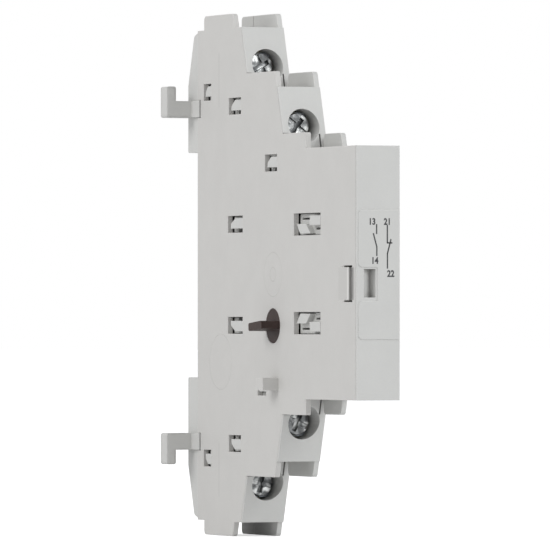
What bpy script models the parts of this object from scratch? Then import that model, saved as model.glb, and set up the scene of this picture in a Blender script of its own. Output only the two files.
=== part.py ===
"""Side-mounted auxiliary contact block, 1 make and 1 break contact.

Metres, +Z up. X runs across the block: the mounting face is the plane X = 0, the body
lies at +X and the hooks reach out to -X. The front faces -Y. The origin lies on the
mounting face at half height, ORIGIN_DEPTH behind the front.
"""
import math

import bmesh
import bpy
from mathutils import Matrix, Vector

# Housing envelope
ORIGIN_DEPTH = 0.045
BODY_WIDTH = 0.0084
PLATE_WALL = 0.0010
FAR_WALL = 0.0010
RIM_WALL = 0.0010
FRONT_WALL = 0.0027
FRONT_HALF_HEIGHT = 0.0226
BACK_DEPTH = 0.0709
FOOT_LENGTH = 0.0055
FOOT_INSET = 0.00045
SEAM_GAP = 0.0001
PART_GAP = 0.0003
EDGE_ROUND = 0.0004
FLUSH_INSET = 0.00005

# Terminal levels, counted outward from the front body
FACE_LEAN = 0.30
LEVEL_PITCH = 0.01145
LEVEL_SETBACK = 0.0162
TERMINAL_TO_BACK = 0.0204
INNER_FACE_DEPTH = BACK_DEPTH - TERMINAL_TO_BACK - LEVEL_SETBACK
SHIELD_RISE = 0.00285
STEP_LENGTH = 0.0124
STEP_FRONT_DEPTH = INNER_FACE_DEPTH - STEP_LENGTH
LIP_DEPTH = 0.0004
OUTER_TAB_RISE = 0.0026
NEAR_TAB_START = 0.0042
NEAR_TAB_LENGTH = 0.0132
FAR_TAB_START = 0.0011
FAR_TAB_LENGTH = 0.0158
TAB_ROUND = 0.0008
MIDDLE_TAB_LENGTH = 0.0109
MIDDLE_TAB_START = 0.0010
FIRST_TAB_START = 0.0011
FIRST_TAB_LENGTH = 0.0074
GROOVE_BACK = 0.0114
GROOVE_WIDTH = 0.0002
GROOVE_DEPTH = 0.0002
SLIT_WIDTH = 0.0003
SLIT_DEPTH = 0.0010

# Feet behind the housing, at either side of the rail
FOOT_START_TOP = 0.0229
FOOT_START_BOTTOM = 0.0190
FOOT_STRAIGHT_TOP = 0.0354
FOOT_SLANT_TOP = 0.0446
FOOT_SLANT_INSET = 0.0028

# Hooks
HOOK_HEIGHT = 0.0294
HOOK_THICKNESS = 0.0031
HOOK_REACH = 0.00515
HOOK_TIP_WIDTH = 0.00176
HOOK_TIP_RISE = 0.0058
HOOK_ARM_DEPTH = 0.0031
HOOK_PAD_LENGTH = 0.0035
HOOK_PAD_PROUD = 0.00025

# Locating lug on the mounting face
LUG_DEPTH = INNER_FACE_DEPTH - 0.0003
LUG_LENGTH = 0.0031
LUG_HEIGHT = 0.00225
LUG_TOP = 0.00375 - FRONT_HALF_HEIGHT
LUG_REACH = 0.0031

# Snap windows and the lugs that catch in them
SNAP_SINK = 0.0002
SNAP_FLOOR = 0.0013
SNAP_ROOT = 0.0005
SNAP_BACK = 0.00045
SNAP_SLOT = 0.0007
SNAP_SLOT_SHARE = 0.70
SNAP_LUG_SHARES = ((0.04, 0.0), (0.87, 0.0), (0.85, 0.45), (0.57, 1.0), (0.04, 1.0))
FRONT_BLOCK_SHARES = ((0.05, 0.45), (0.45, 0.45), (0.43, 0.88), (0.05, 0.88))
FRONT_LEAN_SHARES = ((0.42, 0.08), (0.80, 0.08), (0.92, 0.515), (0.58, 0.515))
FRONT_SLOT_SHARES = ((0.58, 0.71, 0.92, 0.80), (0.06, 0.25, 0.40, 0.35))
SNAP_HEIGHT = 0.0031
OUTER_FACE_DEPTH = INNER_FACE_DEPTH + LEVEL_SETBACK
REAR_WINDOW = (BACK_DEPTH - 0.0063, FRONT_HALF_HEIGHT + 0.0098, 0.0035, SNAP_HEIGHT)
MIDDLE_WINDOW = (OUTER_FACE_DEPTH + 0.0004, FRONT_HALF_HEIGHT + 0.0069, 0.0056, SNAP_HEIGHT)
CENTRE_WINDOW = (OUTER_FACE_DEPTH - 0.0004, 0.00775, 0.0068, SNAP_HEIGHT)
FRONT_WINDOW = (STEP_FRONT_DEPTH - 0.0064, 0.0069, 0.0117, 0.0040)
UPPER_WINDOW = (INNER_FACE_DEPTH + 0.0003, FRONT_HALF_HEIGHT - 0.0039, 0.0055, SNAP_HEIGHT)
LOWER_WINDOW = (INNER_FACE_DEPTH + 0.0052, 0.0005 - FRONT_HALF_HEIGHT, 0.0039, SNAP_HEIGHT)

# Latch near the front edge
LATCH_TOP = 0.00135
LATCH_HEIGHT = 0.0065
LATCH_FRONT = 0.0019
LATCH_SCOOP_LENGTH = 0.0014
LATCH_SCOOP_DEPTH = 0.0006
LATCH_SLOT = 0.0004
LATCH_LENGTH = 0.0045
LATCH_SLIT = 0.0003
LATCH_SLIT_LENGTH = 0.0019
LATCH_SINK = 0.0002

# Label field and marker pocket on the front
LABEL_RISE = 0.00012
LABEL_TOP = 0.0112
LABEL_BOTTOM = -0.0118
LABEL_SIDE = 0.0003
POCKET_SIDE = 0.0014
POCKET_WIDTH = 0.0023
POCKET_TOP = 0.0007
POCKET_HEIGHT = 0.00505
POCKET_DEPTH = 0.0020
POCKET_VALLEY = 0.9

# Terminal screws, M3 with a 0.5 mm pitch
SCREW_ABOVE_SHIELD = 0.00147
SCREW_RADIUS = 0.0015
HEAD_RADIUS = 0.0025
HEAD_HEIGHT = 0.0020
HEAD_SINK = 0.0030
RECESS_RADIUS = 0.0031
CROSS_WIDTH = 0.0009
CROSS_LENGTH = 0.0034
CROSS_DEPTH = 0.0010
SCREW_TIP = 0.0012
SCREW_TRAVEL = 0.0020
SCREW_TURNS = tuple(math.radians(angle) for angle in (38, 24, 62, 12))

# Clamp washers and wire space
WASHER_THICKNESS = 0.0009
WASHER_HEIGHT = 0.0052
WIRE_SPACE = 0.0030
WIRE_MOUTH = 0.0050

# Contact plates, tips and bridges
SHEET = 0.0008
SHEET_WIDTH = 0.0044
SEAT_HEIGHT = 0.0060
JOG = 0.0030
CONTACT_HALF_GAP = 0.0042
CONTACT_REACH = 0.0026
TIP_RADIUS = 0.0011
TIP_HEIGHT = 0.0006
BRIDGE_THICKNESS = 0.0006
BRIDGE_WIDTH = 0.0026
CONTACT_OPENING = 0.00245
CONTACT_TOUCH = 0.0001
OVERTRAVEL = 0.0007

# Carrier and springs
CARRIER_WIDTH = 0.0046
CARRIER_HEIGHT = 0.0052
CARRIER_WALL = 0.0012
CARRIER_NOSE = 0.0080
GUIDE_LENGTH = 0.0065
GUIDE_WALL = 0.0009
SPRING_LENGTH = 0.0028
SPRING_RADIUS = 0.00115
SPRING_WIRE = 0.00018
SPRING_TURNS = 4
RETURN_RADIUS = 0.0017
RETURN_WIRE = 0.00025
RETURN_TURNS = 5
RETURN_PIN_LENGTH = 0.0010

# Switching shaft
SHAFT_AHEAD = 0.0076
SHAFT_HEIGHT = -0.0094
DISC_RADIUS = 0.00313
DISC_CLEARANCE = 0.00007
DISC_SINK = 0.00005
HUB_RADIUS = 0.0020
JOURNAL_RADIUS = 0.0012
JOURNAL_LENGTH = 0.0012
BLADE_LENGTH = 0.0058
BLADE_THICKNESS = 0.00145
BLADE_REACH = 0.0036
BLADE_TILT = math.radians(5)
CRANK_RADIUS = 0.0045
CRANK_SWING = math.radians(40)
CRANK_START = -CRANK_SWING / 2
CRANK_WIDTH = 0.0018
CRANK_THICKNESS = 0.0014
CRANK_PIN_RADIUS = 0.0007
FORK_WALL = 0.0009
FORK_CLEARANCE = 0.0003
FORK_BELOW_PIN = 0.0009

ROUND_SEGMENTS = 40
SMALL_SEGMENTS = 20
CORNER_SEGMENTS = 4

TOP, BOTTOM = 1, -1
INNER_NEAR = PLATE_WALL + SEAM_GAP
INNER_FAR = BODY_WIDTH - FAR_WALL
CENTRE_X = (INNER_NEAR + INNER_FAR) / 2


def depth(distance):
    """Model Y of a point that lies a distance behind the front face."""
    return distance - ORIGIN_DEPTH


def clear_scene():
    for item in list(bpy.data.objects):
        bpy.data.objects.remove(item, do_unlink=True)


def new_collection(name):
    collection = bpy.data.collections.new(name)
    bpy.context.scene.collection.children.link(collection)
    return collection


def plastic(name, colour, roughness, metallic=0.0):
    material = bpy.data.materials.new(name)
    material.use_nodes = True
    shader = material.node_tree.nodes["Principled BSDF"]
    shader.inputs["Base Color"].default_value = (*colour, 1.0)
    shader.inputs["Roughness"].default_value = roughness
    shader.inputs["Metallic"].default_value = metallic
    material.diffuse_color = (*colour, 1.0)
    return material


def place(mesh, name, collection):
    part = bpy.data.objects.new(name, mesh)
    collection.objects.link(part)
    return part


def finish(part, material):
    part.data.materials.clear()
    part.data.materials.append(material)
    return part


def hide_cutter(part):
    part.display_type = "WIRE"
    part.hide_render = True
    return part


def move_origin(part, point):
    """Put the object's origin on a point and leave its mesh where it is."""
    part.data.transform(Matrix.Translation(-Vector(point)))
    part.location = point


def rounded(corners):
    """Points of an outline whose corners are (u, v) or (u, v, radius)."""
    points = []
    count = len(corners)
    for index, corner in enumerate(corners):
        here = Vector(corner[:2])
        radius = corner[2] if len(corner) > 2 else 0.0
        if radius <= 0.0:
            points.append(tuple(here))
            continue
        before = (Vector(corners[index - 1][:2]) - here).normalized()
        after = (Vector(corners[(index + 1) % count][:2]) - here).normalized()
        half_angle = before.angle(after) / 2
        reach = radius / math.tan(half_angle)
        centre = here + (before + after).normalized() * radius / math.sin(half_angle)
        first = here + before * reach - centre
        last = here + after * reach - centre
        turn = first.angle_signed(last)
        for step in range(CORNER_SEGMENTS + 1):
            angle = -turn * step / CORNER_SEGMENTS
            points.append(tuple(centre + Matrix.Rotation(angle, 2) @ first))
    return points


def circle(u, v, radius, segments=ROUND_SEGMENTS):
    turns = (2 * math.pi * step / segments for step in range(segments))
    return [(u + radius * math.cos(turn), v + radius * math.sin(turn)) for turn in turns]


def box_outline(u0, v0, u1, v1):
    return [(u0, v0), (u1, v0), (u1, v1), (u0, v1)]


def mirrored(points):
    """The same outline below the mid-plane."""
    return [(point[0], -point[1], *point[2:]) for point in reversed(points)]


# World directions of an outline's u, v and thickness
SIDEWAYS = Matrix(((0, 0, 1, 0), (1, 0, 0, 0), (0, 1, 0, 0), (0, 0, 0, 1)))
UPWARD = Matrix(((1, 0, 0, 0), (0, 1, 0, 0), (0, 0, 1, 0), (0, 0, 0, 1)))
FRONTWARD = Matrix(((0, 1, 0, 0), (0, 0, 1, 0), (1, 0, 0, 0), (0, 0, 0, 1)))


def extruded(name, collection, outlines, start, end, turn=SIDEWAYS):
    """Solid between two planes from a flat outline with holes.

    SIDEWAYS takes outlines in (Y, Z) and extrudes along X, UPWARD takes (X, Y) and
    extrudes along Z, FRONTWARD takes (Z, X) and extrudes along Y.
    """
    curve = bpy.data.curves.new(name, "CURVE")
    curve.dimensions = "2D"
    curve.fill_mode = "BOTH"
    curve.extrude = (end - start) / 2
    for outline in outlines:
        spline = curve.splines.new("POLY")
        spline.points.add(len(outline) - 1)
        for point, (u, v) in zip(spline.points, outline):
            point.co = (u, v, 0.0, 1.0)
        spline.use_cyclic_u = True
    shape = bpy.data.objects.new(name, curve)
    collection.objects.link(shape)
    shape.matrix_world = turn @ Matrix.Translation((0, 0, (start + end) / 2))
    return as_mesh(shape, collection)


def as_mesh(shape, collection):
    """Closed mesh object in place of a curve object."""
    name = shape.name
    bpy.context.view_layer.update()
    graph = bpy.context.evaluated_depsgraph_get()
    mesh = bpy.data.meshes.new_from_object(shape.evaluated_get(graph))
    mesh.transform(shape.matrix_world)
    work = bmesh.new()
    work.from_mesh(mesh)
    bmesh.ops.remove_doubles(work, verts=work.verts, dist=1e-6)
    bmesh.ops.dissolve_limit(work, angle_limit=math.radians(0.1), verts=work.verts, edges=work.edges)
    bmesh.ops.recalc_face_normals(work, faces=work.faces)
    work.to_mesh(mesh)
    work.free()
    bpy.data.objects.remove(shape, do_unlink=True)
    return place(mesh, name, collection)


def box(name, collection, low, high):
    work = bmesh.new()
    bmesh.ops.create_cube(work, size=1.0)
    for vertex in work.verts:
        vertex.co = [far if part > 0 else near for part, near, far in zip(vertex.co, low, high)]
    mesh = bpy.data.meshes.new(name)
    work.to_mesh(mesh)
    work.free()
    return place(mesh, name, collection)


def rod(name, collection, base, direction, length, radius, end_radius=None, segments=ROUND_SEGMENTS):
    """Cylinder or cone from a base point along a direction."""
    work = bmesh.new()
    tip = radius if end_radius is None else end_radius
    bmesh.ops.create_cone(
        work, cap_ends=True, segments=segments, radius1=radius, radius2=tip, depth=length
    )
    bmesh.ops.translate(work, vec=(0, 0, length / 2), verts=work.verts)
    turn = Vector((0, 0, 1)).rotation_difference(Vector(direction)).to_matrix()
    bmesh.ops.rotate(work, matrix=turn, cent=(0, 0, 0), verts=work.verts)
    bmesh.ops.translate(work, vec=base, verts=work.verts)
    mesh = bpy.data.meshes.new(name)
    work.to_mesh(mesh)
    work.free()
    return place(mesh, name, collection)


def fine_rod(name, collection, base, direction, length, radius, end_radius=None):
    """Rod for a small piece, with fewer segments."""
    return rod(name, collection, base, direction, length, radius, end_radius, SMALL_SEGMENTS)


def combine(part, tool, operation):
    step = part.modifiers.new(tool.name, "BOOLEAN")
    step.operation = operation
    step.solver = "EXACT"
    step.object = tool
    hide_cutter(tool)


def cut(part, *tools):
    for tool in tools:
        combine(part, tool, "DIFFERENCE")


def join(part, *tools):
    for tool in tools:
        combine(part, tool, "UNION")


class Level:
    """One terminal level: its slanted face, shield wall, screw and clamp."""

    def __init__(self, index, name, jog):
        self.name = name
        self.jog = jog
        self.floor = FRONT_HALF_HEIGHT + index * LEVEL_PITCH
        self.top = self.floor + LEVEL_PITCH
        self.shield = self.floor + SHIELD_RISE
        self.screw_height = self.shield + SCREW_ABOVE_SHIELD
        self.face_top = INNER_FACE_DEPTH + index * LEVEL_SETBACK
        self.head_front = self.face_at(self.screw_height) + HEAD_SINK
        self.washer_front = self.head_front + HEAD_HEIGHT
        self.wire_front = self.washer_front + WASHER_THICKNESS
        self.seat_front = self.wire_front + WIRE_SPACE
        self.leg_front = self.seat_front + jog
        self.leg_back = self.leg_front + SHEET
        self.screw_end = self.seat_front + SHEET + SCREW_TIP

    def face_at(self, height):
        return self.face_top - FACE_LEAN * (self.top - height)


INNER_LEVEL = Level(0, "no", JOG)
OUTER_LEVEL = Level(1, "nc", 0.0)
LEVELS = (INNER_LEVEL, OUTER_LEVEL)
SHAFT_DEPTH = INNER_LEVEL.leg_front - SHAFT_AHEAD


LIP_EDGE = LIP_DEPTH + SEAM_GAP


def near_half_outline():
    """Upper half of the mounting plate's edge, from the back to the front."""
    tab_front = OUTER_LEVEL.face_top + NEAR_TAB_START
    tab_back = tab_front + NEAR_TAB_LENGTH
    tab_top = OUTER_LEVEL.top + OUTER_TAB_RISE
    middle_front = INNER_LEVEL.face_top + LIP_EDGE + FACE_LEAN * SHIELD_RISE
    points = [
        (depth(BACK_DEPTH), OUTER_LEVEL.top),
        (depth(tab_back), OUTER_LEVEL.top),
        (depth(tab_back), tab_top, TAB_ROUND),
        (depth(tab_front), tab_top, TAB_ROUND),
        (depth(tab_front - FACE_LEAN * OUTER_TAB_RISE), OUTER_LEVEL.top),
    ]
    for level, front in ((OUTER_LEVEL, middle_front), (INNER_LEVEL, STEP_FRONT_DEPTH)):
        points += [
            (depth(level.face_top + LIP_EDGE), level.top),
            (depth(level.face_at(level.shield) + LIP_EDGE), level.shield),
            (depth(front), level.shield, EDGE_ROUND),
        ]
    points.append((depth(STEP_FRONT_DEPTH), FRONT_HALF_HEIGHT))
    points.append((depth(LIP_EDGE), FRONT_HALF_HEIGHT))
    return points


def shell_half_outline(foot_start):
    """Upper half of the outer shell's edge, from the rail recess to the front."""
    foot_back = BACK_DEPTH + FOOT_LENGTH
    points = [
        (depth(BACK_DEPTH), foot_start),
        (depth(foot_back), foot_start, EDGE_ROUND),
        (depth(foot_back), FOOT_STRAIGHT_TOP),
        (depth(foot_back - FOOT_SLANT_INSET), FOOT_SLANT_TOP, TAB_ROUND),
        (depth(BACK_DEPTH), OUTER_LEVEL.top),
    ]
    for level in (OUTER_LEVEL, INNER_LEVEL):
        points.append((depth(level.face_top), level.top))
        points.append((depth(level.face_at(level.floor)), level.floor))
    points.append((depth(0.0), FRONT_HALF_HEIGHT))
    return points


def wall_tabs(tools):
    """Tabs of the far wall beside the wire entries, leaning back like the terminal faces."""
    outer = OUTER_LEVEL.face_top + FAR_TAB_START
    middle = INNER_LEVEL.face_top + MIDDLE_TAB_START
    first = STEP_FRONT_DEPTH + FIRST_TAB_START
    made = []
    for start, length, base, rise in (
        (outer, FAR_TAB_LENGTH, OUTER_LEVEL.top, OUTER_TAB_RISE),
        (middle, MIDDLE_TAB_LENGTH, INNER_LEVEL.top, SHIELD_RISE),
        (first, FIRST_TAB_LENGTH, FRONT_HALF_HEIGHT, SHIELD_RISE),
    ):
        root = RIM_WALL / 2
        outline = [
            (depth(start + length), base - root),
            (depth(start + length), base + rise, TAB_ROUND),
            (depth(start), base + rise, TAB_ROUND),
            (depth(start - FACE_LEAN * (rise + root)), base - root),
        ]
        for half in (outline, mirrored(outline)):
            made.append(extruded("wall_tab", tools, [rounded(half)], INNER_FAR, BODY_WIDTH - FLUSH_INSET))
    return made


def cavity_half_outline():
    """Upper half of the mechanism space inside the outer shell."""
    inner_back = INNER_LEVEL.screw_end + SCREW_TRAVEL + RIM_WALL
    outer_back = OUTER_LEVEL.screw_end + SCREW_TRAVEL + RIM_WALL
    front_top = FRONT_HALF_HEIGHT - RIM_WALL
    middle_top = OUTER_LEVEL.floor - RIM_WALL
    back = BACK_DEPTH - RIM_WALL
    return [
        (depth(back), OUTER_LEVEL.top - RIM_WALL),
        (depth(outer_back), OUTER_LEVEL.top - RIM_WALL),
        (depth(outer_back), middle_top),
        (depth(inner_back), middle_top),
        (depth(inner_back), front_top),
        (depth(FRONT_WALL), front_top),
    ]


def whole(upper, lower):
    return rounded(upper + mirrored(lower))


def window_outline(window, side):
    start, low, length, height = window
    corners = box_outline(depth(start), low, depth(start + length), low + height)
    return corners if side == TOP else mirrored(corners)


def snap_windows():
    """Each window in the mounting plate with the half of the block that it is in."""
    paired = (REAR_WINDOW, MIDDLE_WINDOW, CENTRE_WINDOW, FRONT_WINDOW)
    windows = [(window, side) for window in paired for side in (TOP, BOTTOM)]
    return windows + [(UPPER_WINDOW, TOP), (LOWER_WINDOW, TOP)]


def latch_tip():
    """Depth at which the latch finger's free end lies."""
    return LATCH_FRONT + LATCH_SCOOP_LENGTH + LATCH_SLOT


def latch_outline():
    """H-shaped opening: a slot before the latch finger's end and a slit along each of its sides."""
    low = LATCH_TOP - LATCH_HEIGHT
    front, slot, tip = depth(LATCH_FRONT), depth(latch_tip() - LATCH_SLOT), depth(latch_tip())
    back = depth(latch_tip() + LATCH_SLIT_LENGTH)
    inside_top, inside_low = LATCH_TOP - LATCH_SLIT, low + LATCH_SLIT
    return [
        (front, LATCH_TOP),
        (back, LATCH_TOP),
        (back, inside_top),
        (tip, inside_top),
        (tip, inside_low),
        (back, inside_low),
        (back, low),
        (front, low),
        (front, inside_low),
        (slot, inside_low),
        (slot, inside_top),
        (front, inside_top),
    ]


def hook_notch(side):
    """Notch in the mounting plate's back edge for a hook's root."""
    front = BACK_DEPTH + FOOT_LENGTH - HOOK_ARM_DEPTH - HOOK_PAD_LENGTH
    low = HOOK_HEIGHT - SEAM_GAP
    high = HOOK_HEIGHT + HOOK_THICKNESS + SEAM_GAP
    outline = box_outline(depth(front - PART_GAP), low, depth(BACK_DEPTH + PART_GAP), high)
    return outline if side == TOP else mirrored(outline)


def build_mounting_shell(parts, tools):
    edge = whole(near_half_outline(), near_half_outline())
    holes = [window_outline(window, side) for window, side in snap_windows()]
    bore = circle(depth(SHAFT_DEPTH), SHAFT_HEIGHT, DISC_RADIUS + DISC_CLEARANCE)
    shell = extruded("mounting_shell", parts, [edge, *holes, bore, latch_outline()], 0.0, PLATE_WALL)
    for side in (TOP, BOTTOM):
        notch = extruded("hook_notch", tools, [hook_notch(side)], -PLATE_WALL, 2 * PLATE_WALL)
        cut(shell, notch)
    lug_bottom = LUG_TOP - LUG_HEIGHT
    lug = box(
        "locating_lug",
        tools,
        (-LUG_REACH, depth(LUG_DEPTH), lug_bottom),
        (PLATE_WALL / 2, depth(LUG_DEPTH + LUG_LENGTH), LUG_TOP),
    )
    join(shell, lug, *guide_rails(tools))
    for outline in (latch_ramp_outline(), latch_scoop_outline()):
        cut(shell, extruded("latch_cutter", tools, [outline], *latch_span(), turn=UPWARD))
    return shell


def latch_span():
    return LATCH_TOP - LATCH_HEIGHT + LATCH_SLIT / 2, LATCH_TOP - LATCH_SLIT / 2


def latch_ramp_outline():
    """Wedge that sinks the latch finger's free end below the mounting face."""
    return [
        (-PLATE_WALL, depth(latch_tip() - LATCH_SLOT / 2)),
        (LATCH_SINK, depth(latch_tip() - LATCH_SLOT / 2)),
        (0.0, depth(latch_tip() + LATCH_LENGTH)),
        (-PLATE_WALL, depth(latch_tip() + LATCH_LENGTH)),
    ]


def latch_scoop_outline():
    """Scoop before the latch finger's end, deepest at the slot."""
    bottom = LATCH_FRONT + LATCH_SCOOP_LENGTH + LATCH_SLOT / 2
    return [
        (0.0, depth(LATCH_FRONT)),
        (LATCH_SCOOP_DEPTH / 3, depth(LATCH_FRONT + LATCH_SCOOP_LENGTH / 2)),
        (LATCH_SCOOP_DEPTH, depth(bottom)),
        (-PLATE_WALL, depth(bottom)),
        (-PLATE_WALL, depth(LATCH_FRONT)),
    ]


def guide_rails(tools):
    """Ribs on the mounting plate that hold the carrier's near side."""
    rails = []
    rib_end = CENTRE_X - CARRIER_WIDTH / 2 - PART_GAP
    for start in guide_starts():
        for side in (TOP, BOTTOM):
            middle = side * (CARRIER_HEIGHT - GUIDE_WALL) / 2
            rails.append(
                box(
                    "carrier_rib",
                    tools,
                    (PLATE_WALL / 2, depth(start), middle - GUIDE_WALL / 2),
                    (rib_end, depth(start + GUIDE_LENGTH), middle + GUIDE_WALL / 2),
                )
            )
    return rails


def fork_front():
    pin = SHAFT_DEPTH + CRANK_RADIUS * math.sin(CRANK_START)
    return pin - CRANK_PIN_RADIUS - FORK_CLEARANCE - FORK_WALL


def carrier_front():
    return fork_front() - CARRIER_NOSE


def make_bridge_front():
    tip_face = INNER_LEVEL.leg_front - TIP_HEIGHT - CONTACT_OPENING
    return tip_face - TIP_HEIGHT - BRIDGE_THICKNESS


def break_bridge_front():
    return OUTER_LEVEL.leg_back + TIP_HEIGHT + CONTACT_TOUCH + TIP_HEIGHT


def carrier_back():
    return break_bridge_front() + BRIDGE_THICKNESS + SPRING_LENGTH + 2 * PART_GAP + CARRIER_WALL


def guide_starts():
    """Depths where the two pairs of guides begin, ahead of the fork and at the back end."""
    return carrier_front() - PART_GAP, carrier_back() - CARRIER_WALL


def build_outer_shell(parts, tools):
    edge = whole(shell_half_outline(FOOT_START_TOP), shell_half_outline(FOOT_START_BOTTOM))
    cavity = whole(cavity_half_outline(), cavity_half_outline())
    pocket = plate_pocket_outline() + mirrored(plate_pocket_outline())
    shell = extruded("outer_shell", parts, [edge], 0.0, BODY_WIDTH)
    cut(shell, extruded("plate_pocket", tools, [pocket], -PLATE_WALL, INNER_NEAR))
    cut(shell, extruded("mechanism_space", tools, [cavity], PLATE_WALL / 2, INNER_FAR))
    cut(shell, foot_relief(tools))
    for level in LEVELS:
        for side in (TOP, BOTTOM):
            cut(shell, *terminal_cutters(level, side, tools))
    join(shell, *wall_tabs(tools), *hooks(tools), *snap_lugs(tools), *carrier_channel(tools))
    join(shell, shaft_boss(tools), label_field(tools))
    cut(shell, shaft_bearing(tools), marker_pocket(tools), *tab_grooves(tools))
    return shell


def plate_pocket_outline():
    """Upper half of the space that the mounting plate fills, open past the outer edge."""
    outside = OUTER_LEVEL.top + 2 * OUTER_TAB_RISE
    points = [(depth(BACK_DEPTH + SEAM_GAP), outside)]
    height = outside
    for level in (OUTER_LEVEL, INNER_LEVEL):
        shield = level.shield + SEAM_GAP
        points.append((depth(level.face_at(height) + LIP_DEPTH), height))
        points.append((depth(level.face_at(shield) + LIP_DEPTH), shield))
        height = shield
    points.append((depth(LIP_DEPTH), height))
    return points


def tab_grooves(tools):
    """Fine groove across each outer tab's inner side."""
    start = OUTER_FACE_DEPTH + GROOVE_BACK
    low = (INNER_FAR - SEAM_GAP, depth(start), OUTER_LEVEL.top - SEAM_GAP)
    high = (INNER_FAR + GROOVE_DEPTH, depth(start + GROOVE_WIDTH), OUTER_LEVEL.top + 2 * OUTER_TAB_RISE)
    under = (low[0], low[1], -high[2])
    below = (high[0], high[1], -low[2])
    return [box("tab_groove", tools, low, high), box("tab_groove", tools, under, below)]


def foot_relief(tools):
    """Sets the feet's near sides back from the mounting face."""
    reach = OUTER_LEVEL.top + 2 * OUTER_TAB_RISE
    outline = box_outline(depth(BACK_DEPTH), -reach, depth(BACK_DEPTH + 2 * FOOT_LENGTH), reach)
    return extruded("foot_relief", tools, [outline], -PLATE_WALL, FOOT_INSET)


def hooks(tools):
    """Hooks that catch in the starter's side, on a pad let into the mounting plate."""
    made = []
    back = BACK_DEPTH + FOOT_LENGTH
    for side in (TOP, BOTTOM):
        low, high = HOOK_HEIGHT, HOOK_HEIGHT + HOOK_THICKNESS
        profile = [
            (low, INNER_NEAR + RIM_WALL / 2),
            (low, -HOOK_REACH, EDGE_ROUND),
            (low + HOOK_TIP_RISE, -HOOK_REACH, EDGE_ROUND),
            (low + HOOK_TIP_RISE, HOOK_TIP_WIDTH - HOOK_REACH, EDGE_ROUND),
            (high, HOOK_TIP_WIDTH - HOOK_REACH),
            (high, INNER_NEAR + RIM_WALL / 2),
        ]
        if side == BOTTOM:
            profile = [(-point[0], *point[1:]) for point in reversed(profile)]
        arm_start = depth(back - HOOK_ARM_DEPTH)
        arm_end = depth(back - FLUSH_INSET)
        made.append(extruded("hook_arm", tools, [rounded(profile)], arm_start, arm_end, turn=FRONTWARD))
        pad_start = depth(back - HOOK_ARM_DEPTH - HOOK_PAD_LENGTH)
        outline = box_outline(pad_start, low + FLUSH_INSET, arm_start + PART_GAP, high - FLUSH_INSET)
        outline = outline if side == TOP else mirrored(outline)
        made.append(extruded("hook_pad", tools, [outline], -HOOK_PAD_PROUD, INNER_NEAR + RIM_WALL / 2))
    return made


def plate_path(level, side):
    """Bent run of a contact plate: its seat under the clamp, a jog and the leg inward."""
    seat = level.seat_front + SHEET / 2
    leg = level.leg_front + SHEET / 2
    high = level.screw_height + SEAT_HEIGHT / 2
    turn = level.screw_height - SEAT_HEIGHT / 2
    path = [(depth(seat), high), (depth(seat), turn), (depth(leg), turn), (depth(leg), CONTACT_HALF_GAP)]
    if not level.jog:
        path = [path[0], path[3]]
    return [(y, side * z) for y, z in path]


def strip_outline(path, width, extra_end=0.0):
    """Outline of a strip of sheet of one thickness that follows square bends."""
    half = width / 2
    left, right = [], []
    for index, (u, v) in enumerate(path):
        before = Vector(path[index]) - Vector(path[index - 1]) if index else None
        after = Vector(path[index + 1]) - Vector(path[index]) if index + 1 < len(path) else None
        first = (before or after).normalized()
        last = (after or before).normalized()
        side = (Vector((-first.y, first.x)) + Vector((-last.y, last.x))) / 2
        side = side.normalized() / max(side.length, 0.1) * half
        shift = Vector((0.0, 0.0))
        if before is None:
            shift = -last * extra_end
        if after is None:
            shift = first * extra_end
        left.append(tuple(Vector((u, v)) + shift + side))
        right.append(tuple(Vector((u, v)) + shift - side))
    return left + right[::-1]


def terminal_cutters(level, side, tools):
    """Recess, clamp chamber, wire mouth, plate slot and screw-end hole of a terminal."""
    height = side * level.screw_height
    low = level.screw_height - WASHER_HEIGHT / 2 - PART_GAP
    high = level.screw_height + WASHER_HEIGHT / 2 + PART_GAP
    chamber_low = (INNER_NEAR - PART_GAP, depth(level.washer_front - PART_GAP), low)
    chamber_back = level.seat_front + SHEET + PART_GAP + FLUSH_INSET
    chamber_high = (INNER_FAR, depth(chamber_back), high)
    mouth_start = (level.wire_front + level.seat_front - WIRE_MOUTH) / 2
    mouth_low = (CENTRE_X - WIRE_MOUTH / 2, depth(mouth_start), high - PART_GAP)
    mouth_high = (CENTRE_X + WIRE_MOUTH / 2, depth(mouth_start + WIRE_MOUTH), level.top + RIM_WALL)
    slit_y = level.face_at(level.floor)
    slit_far = INNER_FAR - SEAM_GAP
    slit_low = (slit_far - SLIT_WIDTH, depth(slit_y - SLIT_DEPTH), level.floor)
    slit_high = (slit_far, depth(level.face_at(level.shield) + SLIT_DEPTH), level.shield)
    mouth = (CENTRE_X, depth(level.face_at(level.top) - 3 * RECESS_RADIUS), height)
    recess_length = level.head_front + HEAD_HEIGHT + SCREW_TRAVEL - level.face_top + 3 * RECESS_RADIUS
    end = (CENTRE_X, depth(level.seat_front), height)
    end_length = level.screw_end + SCREW_TRAVEL + PART_GAP - level.seat_front
    slot = strip_outline(plate_path(level, side), SHEET + 2 * PART_GAP, PART_GAP)
    slot_half = SHEET_WIDTH / 2 + PART_GAP
    cutters = [
        rod("screw_recess", tools, mouth, (0, 1, 0), recess_length, RECESS_RADIUS),
        fine_rod("screw_end_hole", tools, end, (0, 1, 0), end_length, SCREW_RADIUS + PART_GAP),
        extruded("plate_slot", tools, [slot], CENTRE_X - slot_half, CENTRE_X + slot_half),
    ]
    for name, near, far in (
        ("clamp_chamber", chamber_low, chamber_high),
        ("wire_mouth", mouth_low, mouth_high),
        ("terminal_slit", slit_low, slit_high),
    ):
        ends = sorted((side * near[2], side * far[2]))
        cutters.append(box(name, tools, (*near[:2], ends[0]), (*far[:2], ends[1])))
    return cutters


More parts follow.
